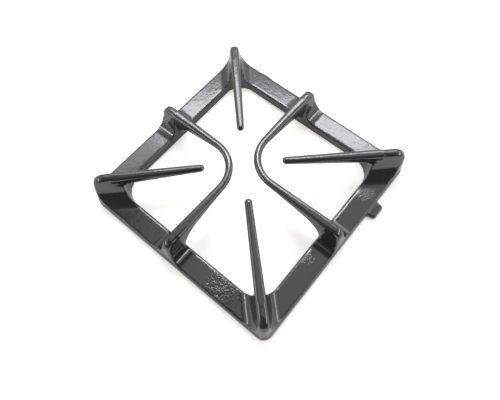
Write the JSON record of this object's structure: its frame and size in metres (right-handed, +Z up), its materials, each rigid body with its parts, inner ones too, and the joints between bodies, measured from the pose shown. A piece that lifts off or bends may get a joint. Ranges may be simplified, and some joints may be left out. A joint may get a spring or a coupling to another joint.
{
  "type": "hob pan support",
  "caption": "Square enamelled cast-iron hob pan support: a flat bar frame from which tapered corner fingers and bent bars rise to carry a pan over a gas burner",
  "frame": {"origin": "on the burner axis, at the flat underside that rests on the hob plate", "axes": "+Z up towards the pan, +X towards the side with the locating lug, X and Y along the frame's sides"},
  "size_m": [0.2483, 0.2402, 0.037],
  "materials": {
    "enamelled_iron": "glossy dark grey vitreous enamel"
  },
  "bodies": {
    "root": {"pan_support": "enamelled_iron"}
  },
  "joints": []
}
